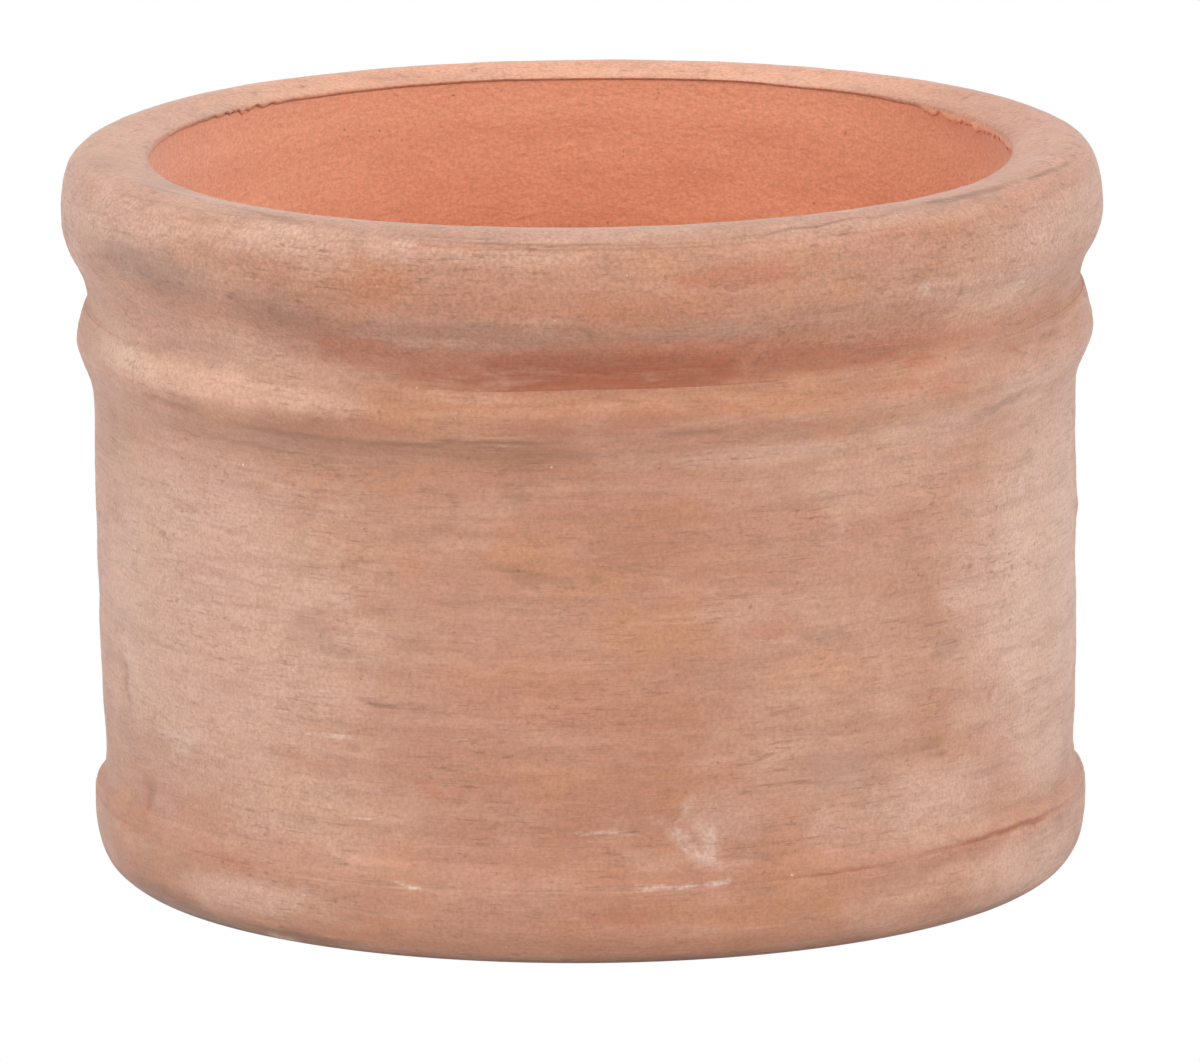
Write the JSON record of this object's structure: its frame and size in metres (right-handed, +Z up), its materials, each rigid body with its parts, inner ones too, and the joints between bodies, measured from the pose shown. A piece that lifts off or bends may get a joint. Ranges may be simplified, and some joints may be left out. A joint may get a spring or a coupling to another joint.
{
  "type": "terracotta pot",
  "caption": "Straight-sided, thick-walled terracotta plant pot, open at the top, with a rolled rim, a bead under it, a low foot band and a drain hole.",
  "frame": {"origin": "middle of the underside, on the surface that the pot stands on", "axes": "+Z up along the pot's axis; the pot is round about it, so +X and +Y are any two level directions at right angles"},
  "size_m": [0.2492, 0.2492, 0.1764],
  "materials": {
    "terracotta": "matte, unglazed, faint turning lines and weathering"
  },
  "bodies": {
    "root": {"floor_slab": "terracotta", "foot_ring": "terracotta", "wall": "terracotta", "bead_band": "terracotta", "rim_roll": "terracotta"}
  },
  "joints": []
}
